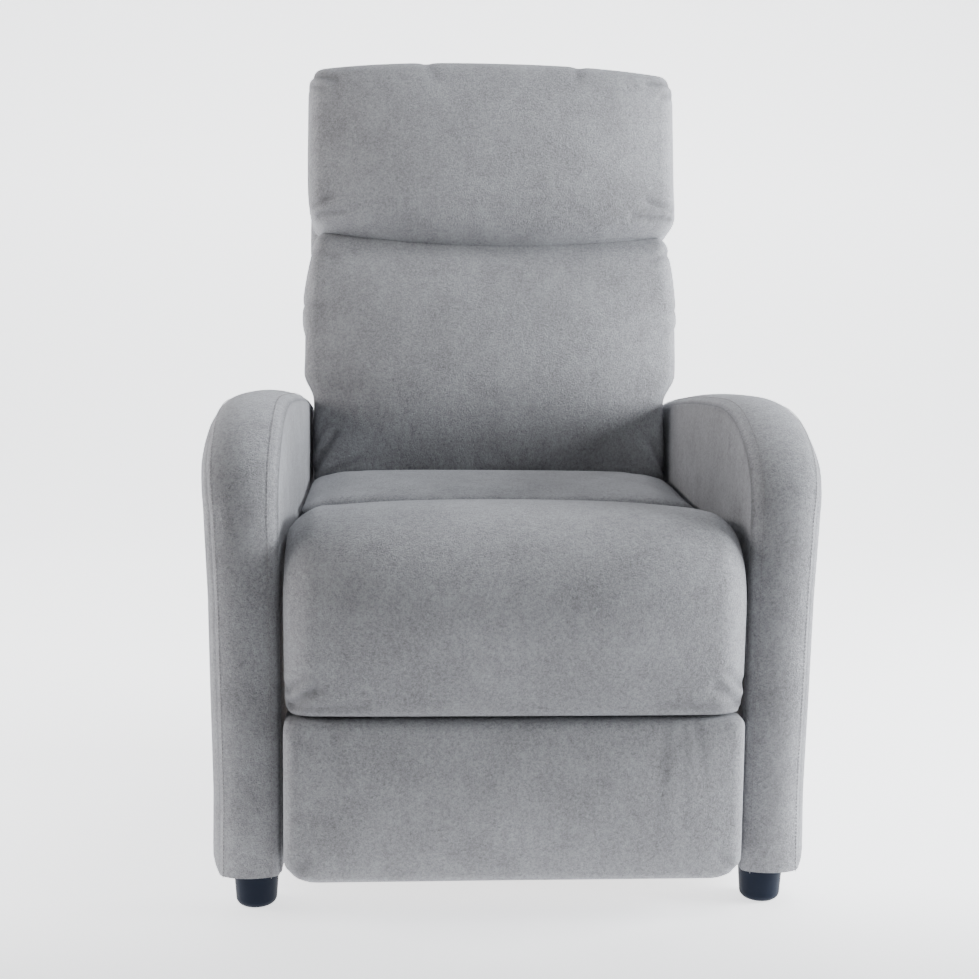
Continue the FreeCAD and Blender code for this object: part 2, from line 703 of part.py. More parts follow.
def upright_back(point):
    """A side view point of the chair, in the upright back's (rearwards, up)."""
    dy = point[0] - BACK_FOOT[0]
    dz = point[1] - BACK_FOOT[1]
    return (dy * math.cos(lean) - dz * math.sin(lean), dy * math.sin(lean) + dz * math.cos(lean))


def back_frame():
    stile = block(stile_x0, stile_x1, timber_v0, timber_v1, -62, BACK_HEIGHT - 16)
    for u in bolt_us:
        stile = stile.cut(rod(stile_x0 - 1, stile_x1 + 1, (bolt_v, u), 3.0 + SEATED))
    rails = [
        block(-stile_x0, stile_x0, timber_v0, timber_v1, u, u + 42)
        for u in (-62, LUMBAR_HEIGHT - 22, BACK_HEIGHT - 16 - 42)
    ]
    return [leant(s) for s in both([stile]) + rails]


def back_webbing():
    half = stile_x1 - 8
    return [
        leant(block(-half, half, timber_v0 - STRAP - 0.05, timber_v0 - 0.05, u, u + 48))
        for u in (10, 90, 170, 250, 440)
    ]


def lumbar_cushion():
    pad = block(-soft_half, soft_half, 0, CUSHION_THICK, -15, LUMBAR_HEIGHT - 1.5)
    return leant(rounded(pad, CORNER, lambda e: e.BoundBox.YMax < 1))


def head_cushion():
    pad = block(-head_half, head_half, -8, CUSHION_THICK, LUMBAR_HEIGHT + 1.5, BACK_HEIGHT)
    return leant(rounded(pad, CORNER, lambda e: e.BoundBox.YMax < 1))


def back_cover():
    """The fabric-covered shell behind the back frame: rear panel, sides and top."""
    shell = block(-soft_half, soft_half, timber_v0 - 1.5, back_thick, -82, BACK_HEIGHT)
    head = block(-head_half, head_half, timber_v0 - 1.5, back_thick, LUMBAR_HEIGHT, BACK_HEIGHT)
    shell = shell.fuse(head).removeSplitter()
    shell = rounded(shell, CORNER, lambda e: e.BoundBox.YMin > back_thick - 1)
    hollow = block(-cavity_half, cavity_half, 0, timber_v1 + SOFT_GAP, -100, BACK_HEIGHT - 15)
    return leant(shell.cut(hollow))


def back_bracket():
    pivot = upright_back(BACK_PIVOT)
    foot = capsule(*LAYER_A, pivot, (bolt_v, -34), 12.0)
    strap = block(*LAYER_A, timber_v0 + 1, timber_v1 - 1, -40, 74)
    bracket = foot.fuse(strap).removeSplitter()
    bracket = bracket.cut(rod(layer_a0 - 1, layer_a1 + 1, pivot, RIVET_RADIUS + RUN))
    for u in bolt_us:
        bracket = bracket.cut(rod(layer_a0 - 1, layer_a1 + 1, (bolt_v, u), 3.0 + SEATED))
    return leant(bracket)


def back_bolt(u):
    shank = rod(stile_x0 + 3, layer_a1 + 0.05, (bolt_v, u), 3.0)
    head = rod(layer_a1 + 0.05, layer_a1 + 3.2, (bolt_v, u), 6.0)
    return leant(shank.fuse(head).removeSplitter())


export("back_frame", *back_frame())
export("back_webbing", *back_webbing())
export("lumbar_cushion", lumbar_cushion())
export("head_cushion", head_cushion())
export("back_cover", back_cover())
export_pair("back_bracket", back_bracket())
export("back_bolts", *both([back_bolt(u) for u in bolt_us]))
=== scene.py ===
"""Looks of the push-back recliner armchair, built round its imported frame.

Metres throughout. The chair faces -Y, and the sitter's left is +X. A pad is made in its own
terms (across, along, out of its face), and one function sets it in its place on the chair.
"""

import json
import math

import bpy
import numpy as np
from mathutils import Matrix, Vector


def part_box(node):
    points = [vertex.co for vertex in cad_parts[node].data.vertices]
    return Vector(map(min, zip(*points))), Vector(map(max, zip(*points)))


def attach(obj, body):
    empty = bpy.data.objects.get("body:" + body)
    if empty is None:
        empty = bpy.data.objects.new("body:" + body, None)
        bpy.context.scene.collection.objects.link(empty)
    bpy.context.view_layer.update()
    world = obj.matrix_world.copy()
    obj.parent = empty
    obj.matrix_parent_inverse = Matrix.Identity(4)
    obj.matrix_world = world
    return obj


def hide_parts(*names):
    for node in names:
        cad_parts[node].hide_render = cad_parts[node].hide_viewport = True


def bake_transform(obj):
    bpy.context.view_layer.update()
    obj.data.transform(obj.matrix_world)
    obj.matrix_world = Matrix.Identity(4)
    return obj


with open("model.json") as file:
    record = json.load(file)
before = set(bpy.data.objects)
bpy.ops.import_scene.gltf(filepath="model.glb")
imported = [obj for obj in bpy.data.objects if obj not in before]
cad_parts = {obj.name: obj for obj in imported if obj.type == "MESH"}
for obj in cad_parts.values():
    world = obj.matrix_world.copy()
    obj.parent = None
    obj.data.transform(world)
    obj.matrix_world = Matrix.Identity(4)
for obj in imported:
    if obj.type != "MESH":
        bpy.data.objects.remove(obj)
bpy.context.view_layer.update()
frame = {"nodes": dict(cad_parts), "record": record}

# --- Finishes --------------------------------------------------------------------------------


class Wire:
    """A socket in a finish's nodes; arithmetic on it adds Math nodes."""

    def __init__(self, finish, socket):
        self.finish = finish
        self.socket = socket

    def _math(self, operation, first, second=None):
        values = {0: first} if second is None else {0: first, 1: second}
        return self.finish.add("ShaderNodeMath", {"operation": operation}, values)

    def __add__(self, other):
        return self._math("ADD", self, other)

    def __sub__(self, other):
        return self._math("SUBTRACT", self, other)

    def __rsub__(self, other):
        return self._math("SUBTRACT", other, self)

    def __mul__(self, other):
        return self._math("MULTIPLY", self, other)

    __radd__ = __add__
    __rmul__ = __mul__

    def clamped(self):
        low = self._math("MAXIMUM", self, 0.0)
        return low._math("MINIMUM", low, 1.0)


class Finish:
    """A material made of nodes round one Principled shader."""

    def __init__(self, name, **constants):
        self.material = bpy.data.materials.new(name)
        self.material.use_nodes = True
        self.tree = self.material.node_tree
        self.shader = self.tree.nodes["Principled BSDF"]
        for socket, value in constants.items():
            self.shader.inputs[socket.replace("_", " ")].default_value = value

    def add(self, kind, settings=None, values=None, output=0, stops=None):
        """Any node: its settings first, then the values or links of its sockets. stops are a
        ramp's, as (place, grey)."""
        node = self.tree.nodes.new(kind)
        for key, value in (settings or {}).items():
            setattr(node, key, value)
        if stops:
            ramp = node.color_ramp
            while len(ramp.elements) < len(stops):
                ramp.elements.new(0.5)
            for element, (place, grey) in zip(ramp.elements, stops):
                element.position = place
                element.color = (grey, grey, grey, 1)
        for key, value in (values or {}).items():
            if isinstance(value, Wire):
                self.tree.links.new(value.socket, node.inputs[key])
            else:
                node.inputs[key].default_value = value
        return Wire(self, node.outputs[output])

    def link(self, wire, socket):
        self.tree.links.new(wire.socket, self.shader.inputs[socket])

    def place(self, stretch=(1, 1, 1)):
        """The point on the object, stretched."""
        point = self.add("ShaderNodeTexCoord", output="Object")
        return self.add("ShaderNodeMapping", None, {"Vector": point, "Scale": stretch})

    def attribute(self, name, output="Fac"):
        return self.add("ShaderNodeAttribute", {"attribute_name": name}, output=output)

    def noise(self, place, scale, detail=2.0, rough=0.5):
        return self.add(
            "ShaderNodeTexNoise", None,
            {"Vector": place, "Scale": scale, "Detail": detail, "Roughness": rough},
        )

    def steps(self, wire, *stops):
        return self.add("ShaderNodeValToRGB", None, {"Fac": wire}, stops=stops)

    def mix(self, amount, first, second):
        """Mixes two colours, each three numbers or a wire, by a number or a wire."""
        first, second = (c if isinstance(c, Wire) else (*c, 1.0) for c in (first, second))
        return self.add(
            "ShaderNodeMix", {"data_type": "RGBA"},
            {0: amount, 6: first, 7: second}, output=2,
        )

    def bump(self, height, distance, strength=1.0, under=None):
        values = {"Height": height, "Distance": distance, "Strength": strength}
        if under is not None:
            values["Normal"] = under
        return self.add("ShaderNodeBump", None, values)


CLOTH_PALE = (0.50, 0.51, 0.535)
CLOTH_DEEP = (0.11, 0.103, 0.107)
# The colour of the painted shade along seams and in folds.
CLOTH_PAINTED_SHADE = (0.07, 0.067, 0.072)


def microfibre():
    """Brushed grey microfibre: short nap, cloudy mottling, pale flecks, and painted shade in seams
    and folds.
    """
    f = Finish("grey_microfibre", Sheen_Weight=0.28, Sheen_Roughness=0.5, Specular_IOR_Level=0.1)
    f.shader.inputs["Sheen Tint"].default_value = (0.84, 0.87, 0.95, 1)
    place = f.attribute("cloth_place", "Vector")
    cloud = f.steps(f.noise(place, 15.0, 5.0, 0.62), (0.3, 0.0), (0.7, 1.0))
    brush_place = f.add("ShaderNodeMapping", None, {
        "Vector": place, "Scale": (1.0, 1.0, 0.5), "Rotation": (0.25, 0.1, 0.3),
    })
    brushed = f.steps(f.noise(brush_place, 75.0, 6.0, 0.72), (0.3, 0.0), (0.7, 1.0))
    fleck = f.steps(f.noise(place, 260.0, 5.0, 0.85), (0.36, 0.0), (0.64, 1.0))
    nap = f.steps(f.noise(place, 620.0, 2.0, 0.8), (0.34, 0.0), (0.66, 1.0))
    pale = (cloud * 0.2 + brushed * 0.16 + fleck * 0.38 + nap * 0.26).clamped()
    colour = f.mix(pale, CLOTH_DEEP, CLOTH_PALE)
    # Painted shade: the seam attribute darkens the cloth along seams and in folds.
    seam = f.attribute("seam")
    colour = f.mix((seam * 0.7).clamped(), colour, CLOTH_PAINTED_SHADE)
    f.link(colour, "Base Color")
    f.link(0.84 + brushed * 0.12, "Roughness")
    soft = f.bump(f.noise(place, 30.0, 4.0, 0.55), 0.0035, 0.45)
    f.link(f.bump(nap * 0.7 + fleck * 0.6, 0.0009, 0.7, soft), "Normal")
    return f.material


def thread():
    """Twisted sewing thread, a shade darker than the cloth."""
    f = Finish("grey_thread", Sheen_Weight=0.2)
    twist = f.add(
        "ShaderNodeTexWave", {"wave_type": "BANDS", "bands_direction": "DIAGONAL"},
        {"Vector": f.place(), "Scale": 420.0, "Distortion": 0.6},
    )
    f.link(f.mix(twist, (0.16, 0.152, 0.158), (0.29, 0.278, 0.285)), "Base Color")
    f.link(0.55 + twist * 0.2, "Roughness")
    f.link(f.bump(twist, 0.0002, 0.6), "Normal")
    return f.material


def moulded_black():
    """Black moulded plastic with a fine spark-eroded texture and scuffs low down."""
    f = Finish("moulded_black", Specular_IOR_Level=0.12)
    place = f.place()
    cell = f.noise(place, 900.0, 2.0, 0.6)
    scuff = f.steps(f.noise(f.place((1, 1, 4)), 60.0, 6.0, 0.7), (0.58, 0.0), (0.74, 1.0))
    f.link(f.mix(scuff * 0.5, (0.004, 0.008, 0.019), (0.014, 0.018, 0.028)), "Base Color")
    f.link(0.42 + cell * 0.16 + scuff * 0.18, "Roughness")
    f.link(f.bump(cell, 0.0003, 0.4), "Normal")
    return f.material


def coated_steel(name, colour, worn, rough):
    """Powder-coated or plated steel with faint orange peel and rubbed patches; also gives the
    patches, for the caller to set how metallic they are."""
    f = Finish(name, Specular_IOR_Level=0.5)
    place = f.place()
    peel = f.noise(place, 420.0, 2.0, 0.5)
    rub = f.steps(f.noise(place, 38.0, 7.0, 0.72), (0.56, 0.0), (0.72, 1.0))
    f.link(f.mix(rub, colour, worn), "Base Color")
    f.link(rough + peel * 0.12 - rub * 0.1, "Roughness")
    f.link(f.bump(peel, 0.00025, 0.45), "Normal")
    return f, rub


def black_coat():
    f, rub = coated_steel("black_powder_coat", (0.018, 0.018, 0.02), (0.05, 0.05, 0.052), 0.42)
    f.link(rub * 0.25, "Metallic")
    return f.material


def bright_plate(name, colour, worn):
    f, rub = coated_steel(name, colour, worn, 0.34)
    f.link(1.0 - rub * 0.2, "Metallic")
    return f.material


def timber(name, pale, dark, stretch):
    """Planed wood: long wavering grain, pores along it, a few darker bands."""
    f = Finish(name, Specular_IOR_Level=0.3)
    place = f.place(stretch)
    warp = f.noise(place, 5.0, 4.0, 0.6)
    rings = f.steps(f.noise(place, 26.0, 6.0, 0.62), (0.3, 0.0), (0.7, 1.0))
    pore_place = f.place(tuple(s * 6 for s in stretch))
    pores = f.steps(f.noise(pore_place, 60.0, 3.0, 0.6), (0.55, 0.0), (0.7, 1.0))
    band = (rings * 0.7 + warp * 0.3).clamped()
    colour = f.mix(band, pale, dark)
    f.link(f.mix(pores * 0.4, colour, tuple(c * 0.5 for c in dark)), "Base Color")
    f.link(0.6 + band * 0.15, "Roughness")
    f.link(f.bump(band - pores * 0.6, 0.0004, 0.5), "Normal")
    return f.material


def woven(name, pale, dark, pitch, fuzz):
    """Flat cloth seen close: warp and weft ridges, with a little fuzz."""
    f = Finish(name, Sheen_Weight=0.15)
    ridges = []
    for direction in ("X", "Z"):
        ridges.append(f.add(
            "ShaderNodeTexWave", {"wave_type": "BANDS", "bands_direction": direction},
            {"Vector": f.place(), "Scale": pitch, "Distortion": 0.8, "Detail": 1.0},
        ))
    weave = (ridges[0] * 0.5 + ridges[1] * 0.5).clamped()
    fluff = f.noise(f.place(), 700.0, 3.0, 0.6)
    mixed = (weave * (1 - fuzz) + fluff * fuzz).clamped()
    f.link(f.mix(mixed, dark, pale), "Base Color")
    f.link(0.85 + fluff * 0.1, "Roughness")
    f.link(f.bump(mixed, 0.0006, 0.7), "Normal")
    return f.material


cloth = microfibre()
sewing_thread = thread()
finishes = {
    "feet": moulded_black(),
    "steel_black": black_coat(),
    "zinc": bright_plate("zinc_plate", (0.55, 0.56, 0.57), (0.38, 0.37, 0.34)),
    "spring_steel": bright_plate("oiled_wire", (0.2, 0.2, 0.22), (0.1, 0.09, 0.08)),
    "timber": timber("planed_softwood", (0.6, 0.42, 0.24), (0.42, 0.26, 0.13), (1.0, 0.25, 1.0)),
    "board": timber("plywood", (0.56, 0.4, 0.24), (0.36, 0.23, 0.12), (0.2, 1.0, 1.6)),
    "felt": woven("needled_felt", (0.5, 0.48, 0.44), (0.32, 0.3, 0.28), 40.0, 0.85),
    "webbing": woven("elastic_webbing", (0.12, 0.115, 0.11), (0.035, 0.033, 0.032), 190.0, 0.2),
    "upholstery": cloth,
}
for part in frame["record"]["subparts"]:
    node = frame["nodes"][part["node"]]
    node.data.materials.clear()
    node.data.materials.append(finishes[part["material_slot"]])

# --- Making a pad ----------------------------------------------------------------------------

CELL = 0.0075  # The width of a pad's mesh cells before they are halved.
AIR_FRAMES = 20
HELD_STEPS = 10  # How many steps of firmness the sewn points are sorted into.
HEADROOM = 0.005  # How far below its crown a face starts, before the air fills it.
FOLD_TAPER = 0.5  # How much of a fold's depth is gone at its far end.
SEAM_DEPTH = 0.0026  # How deep a sewn line draws the cloth in.
SEAM_WIDTH = 0.0026


def block_skin(counts):
    """The skin of a block of cells: its points, counted in cells, and its outward quads."""
    index, quads = {}, []
    for axis in range(3):
        u, v = (axis + 1) % 3, (axis + 2) % 3
        for end in (0, 1):
            for i in range(counts[u]):
                for j in range(counts[v]):
                    ring = []
                    for du, dv in ((0, 0), (1, 0), (1, 1), (0, 1)):
                        p = [0, 0, 0]
                        p[axis], p[u], p[v] = counts[axis] * end, i + du, j + dv
                        ring.append(index.setdefault(tuple(p), len(index)))
                    quads.append(ring if end else ring[::-1])
    return np.array(list(index), float), quads


def rounded_block(size, radii):
    """A block with softened edges. size and radii are (across, along, out of the face)."""
    size, radii = np.array(size), np.array(radii)
    counts = np.maximum(np.round(size / CELL).astype(int), 4)
    points, quads = block_skin([int(n) for n in counts])
    half = size / 2
    points = points / counts * size - half
    core = np.clip(points, -(half - radii), half - radii)
    away = (points - core) / radii
    length = np.linalg.norm(away, axis=1, keepdims=True)
    length[length < 1e-9] = 1
    return core + away / length * radii, quads


def mesh_piece(name, points, quads, material=None):
    mesh = bpy.data.meshes.new(name)
    mesh.from_pydata([tuple(p) for p in points], [], quads)
    mesh.polygons.foreach_set("use_smooth", [True] * len(mesh.polygons))
    piece = bpy.data.objects.new(name, mesh)
    bpy.context.scene.collection.objects.link(piece)
    mesh.materials.append(material or cloth)
    return piece


def positions(piece):
    flat = np.empty(len(piece.data.vertices) * 3)
    piece.data.vertices.foreach_get("co", flat)
    return flat.reshape(-1, 3)


def set_positions(piece, points):
    piece.data.vertices.foreach_set("co", np.ascontiguousarray(points, float).ravel())
    piece.data.update()


def normals(piece):
    flat = np.empty(len(piece.data.vertices) * 3)
    piece.data.vertex_normals.foreach_get("vector", flat)
    return flat.reshape(-1, 3)


def baked(piece):
    """Turns a piece's modifiers into plain mesh."""
    depsgraph = bpy.context.evaluated_depsgraph_get()
    mesh = bpy.data.meshes.new_from_object(piece.evaluated_get(depsgraph))
    piece.modifiers.clear()
    old, piece.data = piece.data, mesh
    mesh.name = piece.name
    bpy.data.meshes.remove(old)
    return piece


def point_value(piece, name, values):
    kind = "FLOAT_VECTOR" if np.ndim(values) == 2 else "FLOAT"
    found = piece.data.attributes.get(name)
    if found:
        piece.data.attributes.remove(found)
    slot = piece.data.attributes.new(name, kind, "POINT")
    key = "vector" if kind == "FLOAT_VECTOR" else "value"
    slot.data.foreach_set(key, np.ascontiguousarray(values, np.float32).ravel())


def blow_up(piece, held, most, pressure, calm):
    """Lets the cloth solver fill a closed pad with air. held is how firmly each point is sewn down
    (0 to 1), most is how far a point may move, and calm is how many times its move is evened out
    with its neighbours' moves, as thick wadding under the cloth does."""
    scene = bpy.context.scene
    start = positions(piece)
    group = piece.vertex_groups.new(name="sewn")
    for step in range(1, HELD_STEPS + 1):
        chosen = np.nonzero(np.round(held * HELD_STEPS) == step)[0]
        if len(chosen):
            group.add([int(i) for i in chosen], step / HELD_STEPS, "REPLACE")
    modifier = piece.modifiers.new("air", "CLOTH")
    air = modifier.settings
    air.quality = 6
    air.mass = 0.3
    air.tension_stiffness = air.compression_stiffness = 20
    air.shear_stiffness = 12
    air.bending_stiffness = 14
    air.use_pressure = True
    air.uniform_pressure_force = pressure
    air.vertex_group_mass = "sewn"
    air.effector_weights.gravity = 0
    modifier.point_cache.frame_start = 1
    modifier.point_cache.frame_end = AIR_FRAMES
    for moment in range(1, AIR_FRAMES + 1):
        scene.frame_set(moment)
    found = piece.evaluated_get(bpy.context.evaluated_depsgraph_get())
    flat = np.empty(len(start) * 3)
    found.data.vertices.foreach_get("co", flat)
    move = flat.reshape(-1, 3) - start
    piece.modifiers.clear()
    piece.vertex_groups.clear()
    scene.frame_set(1)
    length = np.linalg.norm(move, axis=1, keepdims=True)
    move *= np.minimum(1, most / np.maximum(length, 1e-9))
    pairs = np.empty(len(piece.data.edges) * 2, int)
    piece.data.edges.foreach_get("vertices", pairs)
    one, other = pairs.reshape(-1, 2).T
    count = np.bincount(pairs, minlength=len(start))[:, None]
    loose = 1 - held[:, None]
    for _ in range(calm):
        total = np.zeros_like(move)
        np.add.at(total, one, move[other])
        np.add.at(total, other, move[one])
        move += (total / count - move) * 0.6 * loose
    set_positions(piece, start + move)


def smoothstep(low, high, value):
    t = np.clip((value - low) / (high - low), 0, 1)
    return t * t * (3 - 2 * t)


def crease(points, start, end, depth, width):
    """How far a fold between two points of a pad's face pulls the cloth in, at each point."""
    a, b = np.array(start), np.array(end)
    along = b - a
    t = np.clip(((points - a) @ along) / (along @ along), 0, 1)
    gap = np.linalg.norm(points - a - t[:, None] * along, axis=1)
    fade = 1 - FOLD_TAPER * t
    return depth * fade * np.exp(-((gap / width) ** 2))


def finish_pad(piece, body, replaced, rides=True):
    point_value(piece, "cloth_place", positions(piece))
    if "seam" not in piece.data.attributes:
        point_value(piece, "seam", np.zeros(len(piece.data.vertices)))
    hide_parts(*replaced)
    if rides:
        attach(piece, body)
    return piece


def finer(piece):
    modifier = piece.modifiers.new("finer", "SUBSURF")
    modifier.levels = modifier.render_levels = 1
    return baked(piece)


def pad(name, size, radii, crown, place, body, replaced, folds=(), seams=(), most=0.016,
        pressure=4.0, shape=None, rides=True, sewn=0.55, calm=8, square=False):
    """A stuffed pad. Its points are (across, along, out of the face) from its middle.

    crown is how much the face swells; folds are creases in the face as (start, end, depth,
    width); seams are sewn lines round its sides at heights out of the face, as shares of its
    half thickness; shape moves the plain points before they are set in place; sewn is how
    firmly its edges are held; square leaves the rear edges unrounded, to cover the board
    behind."""
    local, quads = rounded_block(size, radii)
    half = np.array(size) / 2
    if square:
        deep = np.clip((-local[:, 2] - half[2] + radii[2]) / radii[2], 0, 1)
        rounding = 1 - np.sqrt(1 - deep ** 2)
        for axis in (0, 1):
            local[:, axis] *= half[axis] / (half[axis] - radii[axis] * rounding)
    across, along, out = local.T / half[:, None]
    swell = (1 - np.abs(across) ** 3.2) * (1 - np.abs(along) ** 3.2)
    front = smoothstep(-0.2, 1.0, out)
    local[:, 2] += (crown - HEADROOM) * swell * front
    plain = local.copy()
    if shape is not None:
        local = shape(local, across, along, out)
    piece = mesh_piece(name, place(local), quads)
    edge = np.maximum(np.abs(across), np.abs(along))
    held = np.where(out < -0.7, 1.0, 0.0)
    for height in seams:
        near = np.exp(-(((plain[:, 2] / half[2]) - height) / 0.09) ** 2)
        held = np.maximum(held, near * (edge > 0.93))
    held = np.maximum(held, sewn * smoothstep(0.93, 1.0, edge))
    blow_up(piece, held, most, pressure, calm)
    names = ("pad_across", "pad_along", "pad_out")
    for key, values in zip(names, plain.T):
        point_value(piece, key, values)
    finer(piece)
    read = {}
    for key in names:
        values = np.empty(len(piece.data.vertices), np.float32)
        piece.data.attributes[key].data.foreach_get("value", values)
        read[key] = values.astype(float)
        piece.data.attributes.remove(piece.data.attributes[key])
    face = np.column_stack([read["pad_across"], read["pad_along"]])
    out = read["pad_out"] / half[2]
    edge = np.maximum(np.abs(face[:, 0]) / half[0], np.abs(face[:, 1]) / half[1])
    inward = np.zeros(len(face))
    for start, end, depth, width in folds:
        inward += crease(face, start, end, depth, width) * smoothstep(-0.3, 0.4, out)
    # Painted shade in the folds, darker where a fold draws the cloth in further.
    dark = np.clip(inward / 0.006, 0, 0.55)
    for height in seams:
        gap = (out - height) * half[2] / SEAM_WIDTH
        line = np.exp(-(gap ** 2)) * smoothstep(0.9, 0.96, edge)
        inward += SEAM_DEPTH * line
        # Painted shade along each sewn line.
        dark = np.maximum(dark, 0.9 * line)
    set_positions(piece, positions(piece) - normals(piece) * inward[:, None])
    point_value(piece, "seam", dark)
    return finish_pad(piece, body, replaced, rides)


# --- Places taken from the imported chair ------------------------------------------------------


def span(node):
    low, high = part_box(node)
    return np.array(low), np.array(high)


arm_low, arm_high = span("left_arm_cover")
seat_low, seat_high = span("seat_cushion")
front_low, front_high = span("seat_front_cushion")
rest_low, rest_high = span("leg_rest_pad")
foot_low, foot_high = span("footrest_pad")
BACK_LEAN = math.radians(12.0)
up_back = np.array([0, math.sin(BACK_LEAN), math.cos(BACK_LEAN)])
off_back = np.array([0, -math.cos(BACK_LEAN), math.sin(BACK_LEAN)])


def back_reach(node):
    """A back piece's lowest and highest place up the back, its foremost and rearmost place, and
    half its width."""
    points = np.array([v.co for v in frame["nodes"][node].data.vertices])
    ups, offs = points @ up_back, points @ off_back
    return ups.min(), ups.max(), offs.max(), offs.min(), np.abs(points[:, 0]).max()


def on_back(middle_up, middle_off):
    """Sets a pad's points on the leaning back."""
    def place(p):
        sideways = p[:, :1] * [1, 0, 0]
        return sideways + (p[:, 1:2] + middle_up) * up_back + (p[:, 2:3] + middle_off) * off_back
    return place


# --- Back cushions ---------------------------------------------------------------------------

HEAD_SAG = 0.030  # How far the middle of its lower edge hangs.
HEAD_ARCH = 0.013
HEAD_TILT = 0.010
HEAD_SWELL = 0.009  # The fuller band above its lower edge.
HEAD_TUCK = 0.007
HEAD_PROUD = 0.004

low_u, high_u, face_off, rear_off, half_x = back_reach("head_cushion")
head_front = face_off + HEAD_PROUD


def head_shape(local, across, along, out):
    """The face leans forwards to its top and is fullest near its lower edge, which hangs in the
    middle and tucks under; the upper edge is arched."""
    p = local.copy()
    front = smoothstep(-0.6, 0.7, out)
    p[:, 1] -= HEAD_SAG * (1 - across ** 2) * smoothstep(0.2, -1.0, along) * front
    p[:, 1] += HEAD_ARCH * (1 - np.abs(across) ** 2.2) * smoothstep(0.2, 1.0, along)
    p[:, 0] *= 1.002 + 0.008 * smoothstep(-1.0, 0.0, along) - 0.004 * smoothstep(0.6, 1.0, along)
    p[:, 0] += 0.0035 + 0.003 * smoothstep(-0.5, -1.0, along)
    p[:, 2] += HEAD_TILT * front * (1 - np.abs(across) ** 4) * smoothstep(-1.1, 0.9, along)
    p[:, 2] += HEAD_SWELL * front * np.exp(-(((along + 0.66) / 0.30) ** 2))
    p[:, 2] -= HEAD_TUCK * front * smoothstep(-0.84, -1.0, along)
    return p


head_folds = [
    ((-0.268, 0.108), (-0.232, 0.092), 0.0061, 0.0045),
    ((-0.270, 0.092), (-0.250, 0.080), 0.0041, 0.004),
    ((0.268, 0.106), (0.232, 0.096), 0.0058, 0.0045),
    ((0.270, 0.088), (0.252, 0.078), 0.0041, 0.004),
    ((-0.268, -0.094), (-0.238, -0.080), 0.0052, 0.0045),
    ((-0.262, -0.108), (-0.222, -0.098), 0.0041, 0.004),
    ((0.268, -0.092), (0.226, -0.078), 0.0055, 0.0045),
    ((0.262, -0.106), (0.205, -0.096), 0.0043, 0.004),
    ((-0.10, 0.118), (-0.085, 0.086), 0.0023, 0.009),
    ((0.13, 0.118), (0.122, 0.090), 0.0023, 0.008),
]
pad(
    "head_pad", (2 * half_x, high_u - low_u + 0.004, head_front - rear_off),
    radii=(0.022, 0.024, 0.030), crown=0.030,
    place=on_back((low_u + high_u) / 2 - 0.001, (head_front + rear_off) / 2),
    body="back", replaced=["head_cushion"],
    folds=head_folds, seams=(-0.2,), shape=head_shape,
)

LUMBAR_WIDEN = 0.078
LUMBAR_SWELL = 0.020
LUMBAR_RECESS = 0.019  # How far its top lies back under the head pad.
LUMBAR_PROUD = 0.002

low_u, high_u, face_off, rear_off, half_x = back_reach("lumbar_cushion")
lumbar_front = face_off + LUMBAR_PROUD


def lumbar_shape(local, across, along, out):
    """The face is fullest below its middle, and the pad is wider above the arms."""
    p = local.copy()
    front = smoothstep(-0.6, 0.7, out)
    # Its sides stay narrow low down, where they pass between the arms when it reclines; only the
    # face's edges are full a little lower.
    face_side = smoothstep(-0.36, -0.14, along) * smoothstep(0.3, 0.85, out)
    rear_side = smoothstep(-0.12, 0.28, along)
    widen = np.maximum(face_side, rear_side * smoothstep(-1.2, 0.2, out))
    p[:, 0] *= 1 + LUMBAR_WIDEN * widen * (1 - 0.55 * smoothstep(0.35, 1.0, along))
    p[:, 0] += 0.002 * smoothstep(-0.3, 0.0, along) + 0.003 * smoothstep(0.4, 1.0, along)
    low = np.exp(-(((along + 0.30) / 0.48) ** 2))
    p[:, 2] += LUMBAR_SWELL * front * (1 - np.abs(across) ** 3) * low
    p[:, 2] -= LUMBAR_RECESS * front * smoothstep(0.62, 1.0, along)
    side = np.sign(across) * 0.0012 * smoothstep(0.8, 1.0, np.abs(across))
    p[:, 0] += side * smoothstep(-0.4, -0.8, along)
    return p


lumbar_folds = [
    ((-0.258, -0.172), (-0.226, -0.122), 0.0055, 0.006),
    ((-0.262, -0.140), (-0.240, -0.108), 0.0030, 0.005),
    ((-0.240, -0.180), (-0.190, -0.156), 0.0030, 0.006),
    ((0.258, -0.170), (0.236, -0.132), 0.0036, 0.005),
    ((-0.270, 0.080), (-0.232, 0.068), 0.0024, 0.005),
    ((0.270, 0.050), (0.236, 0.038), 0.0026, 0.005),
    ((0.270, 0.078), (0.242, 0.071), 0.0020, 0.0045),
    ((0.262, 0.165), (0.220, 0.143), 0.0024, 0.005),
    ((-0.262, 0.165), (-0.215, 0.140), 0.0022, 0.005),
]
pad(
    "lumbar_pad", (2 * half_x, high_u - low_u, lumbar_front - rear_off),
    radii=(0.020, 0.022, 0.028), crown=0.026,
    place=on_back((low_u + high_u) / 2, (lumbar_front + rear_off) / 2),
    body="back", replaced=["lumbar_cushion"],
    folds=lumbar_folds, seams=(-0.2,), shape=lumbar_shape,
)

# --- Seat, leg rest and footrest pads --------------------------------------------------------


def seat_place(p):
    """across, along (rearwards) and out (up), from the middle of the seat pad."""
    middle = (seat_low + seat_high) / 2
    return np.column_stack([p[:, 0], middle[1] + p[:, 1], middle[2] + p[:, 2]])


SEAT_TUCK = 0.052  # How much shorter it is at the rear, where the lumbar pad covers it.
SEAT_RISE = 0.013
SEAT_DROP = 0.006
SEAT_SIDE_FALL = 0.010
seat_size = seat_high - seat_low


def seat_shape(local, across, along, out):
    """The seat rises from its front seam to the back, and rounds down at its sides."""
    p = local.copy()
    upper = smoothstep(-1.0, 1.0, out)
    p[:, 2] += upper * (SEAT_RISE * smoothstep(-1.0, 0.9, along) - SEAT_DROP)
    p[:, 2] -= upper * SEAT_SIDE_FALL * smoothstep(0.72, 1.0, np.abs(across)) ** 1.5
    return p


